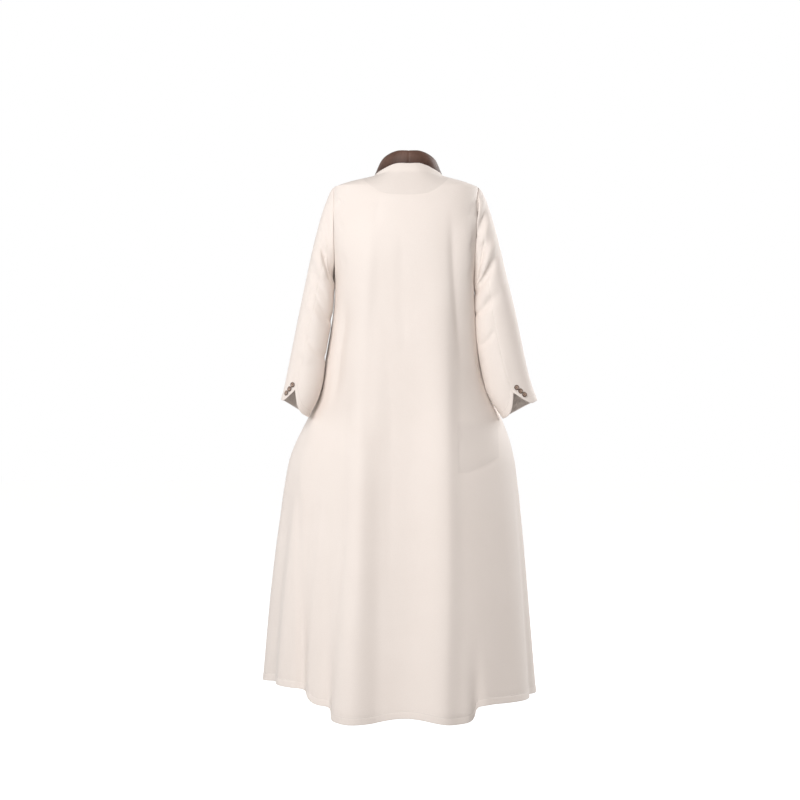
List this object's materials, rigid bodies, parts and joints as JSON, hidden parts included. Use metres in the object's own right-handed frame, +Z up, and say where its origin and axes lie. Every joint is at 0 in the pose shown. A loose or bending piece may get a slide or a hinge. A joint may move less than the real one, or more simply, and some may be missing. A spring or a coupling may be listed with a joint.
{
  "type": "abaya cloak",
  "caption": "Worn open-fronted A-line coat abaya with stand collar, two-piece sleeves and notched buttoned cuffs, hollow for a wearer.",
  "frame": {"origin": "centre of the neck opening, level with the side neck points, where the wearer's shoulders carry the garment", "axes": "+Z up, -Y towards the wearer's front, +X towards the wearer's left"},
  "size_m": [0.7069, 0.5971, 1.4179],
  "materials": {
    "cloth": "light beige matt crepe",
    "collar_cloth": "dark brown satin",
    "button": "semi-gloss brown"
  },
  "bodies": {
    "root": {"back": "cloth", "front_left": "cloth", "front_right": "cloth", "sleeve_left_top": "cloth", "sleeve_left_under": "cloth", "sleeve_right_top": "cloth", "sleeve_right_under": "cloth", "collar_left": "collar_cloth", "collar_right": "collar_cloth", "neck_facing": "cloth", "pocket_bag": "cloth", "cuff_button_left_1": "button", "cuff_button_left_2": "button", "cuff_button_left_3": "button", "cuff_button_right_1": "button", "cuff_button_right_2": "button", "cuff_button_right_3": "button"}
  },
  "joints": []
}
